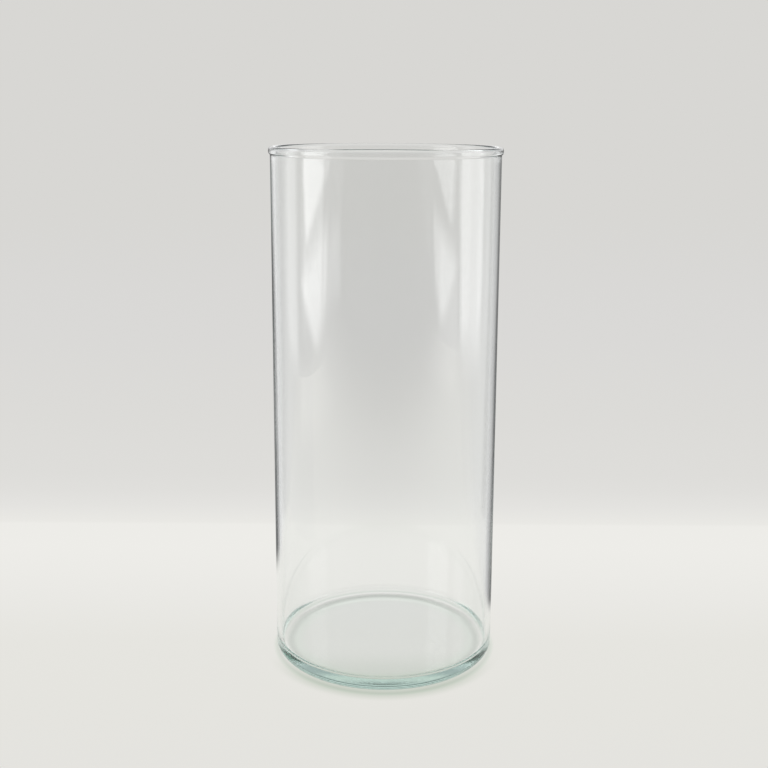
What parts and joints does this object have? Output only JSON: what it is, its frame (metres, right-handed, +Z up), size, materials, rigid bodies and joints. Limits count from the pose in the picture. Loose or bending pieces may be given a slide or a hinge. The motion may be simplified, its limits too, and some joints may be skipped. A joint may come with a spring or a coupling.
{
  "type": "glass cylinder vase",
  "caption": "Tall straight clear glass cylinder vase with an open mouth, a fire-polished rim bead, a rounded heel and a flat bearing ring that it stands on.",
  "frame": {"origin": "middle of the foot, on the plane that the vase rests on", "axes": "+Z up along the cylinder's axis, from the foot to the mouth; +X and +Y are any two directions across it, because the vase is round"},
  "size_m": [0.1014, 0.1014, 0.23],
  "materials": {
    "clear_glass": "clear soda-lime glass with a faint aqua tint, fire-polished"
  },
  "bodies": {
    "root": {"base_disc": "clear_glass", "heel_ring": "clear_glass", "wall_tube": "clear_glass", "rim_bead": "clear_glass"}
  },
  "joints": []
}
